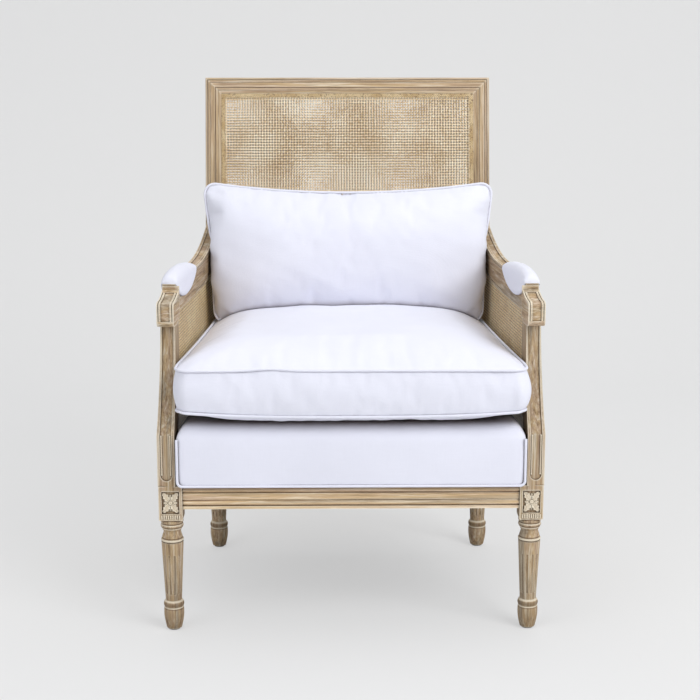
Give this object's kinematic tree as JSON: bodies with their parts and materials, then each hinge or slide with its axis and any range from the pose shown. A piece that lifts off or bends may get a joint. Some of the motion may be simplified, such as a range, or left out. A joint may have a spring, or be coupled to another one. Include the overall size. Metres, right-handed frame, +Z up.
{
  "type": "cane armchair",
  "caption": "Square-backed armchair with a carved, limed wood frame, cane back and sides, padded arms, and loose seat and back cushions on an upholstered deck.",
  "frame": {"origin": "middle of the chair's box on the floor", "axes": "+Z up; the chair faces -Y; +X is to the right seen from the front"},
  "size_m": [0.7018, 0.6862, 0.9877],
  "materials": {
    "oak": "limed and waxed",
    "inner_oak": "raw",
    "steel": "plain",
    "glide": "satin",
    "cane": "natural cane",
    "reed": "natural reed",
    "webbing": "woven jute",
    "dust_cloth": "plain weave",
    "linen": "plain weave linen",
    "piping": "linen cord piping"
  },
  "bodies": {
    "frame": {"front_post_left": "oak", "front_post_right": "oak", "rear_post_left": "oak", "rear_post_right": "oak", "crest_rail": "oak", "back_lower_rail": "oak", "front_seat_rail": "oak", "rear_seat_rail": "oak", "side_seat_rail_left": "oak", "side_seat_rail_right": "oak", "arm_left": "oak", "arm_right": "oak", "arm_dowels": "inner_oak", "corner_blocks": "inner_oak", "corner_screws": "steel", "foot_glides": "glide", "back_cane_front": "cane", "back_cane_rear": "cane", "side_cane_left": "cane", "side_cane_right": "cane", "back_spline_front": "reed", "back_spline_rear": "reed", "side_reed_left": "reed", "side_reed_right": "reed", "seat_webbing": "webbing", "dust_cover": "dust_cloth", "seat_deck": "linen", "arm_pad_left": "linen", "arm_pad_right": "linen", "deck_piping": "piping"},
    "seat_cushion": {"seat_cushion": "linen", "seat_cushion_piping": "piping"},
    "back_cushion": {"back_cushion": "linen", "back_cushion_piping": "piping"}
  },
  "joints": [
    {"name": "seat_cushion_out", "type": "slide", "parent": "frame", "child": "seat_cushion", "axis": [0, -1, 0], "range_m": [0, 0.65]},
    {"name": "back_cushion_up", "type": "slide", "parent": "seat_cushion", "child": "back_cushion", "axis": [0, 0.2079, 0.9781], "range_m": [0, 0.35]}
  ]
}
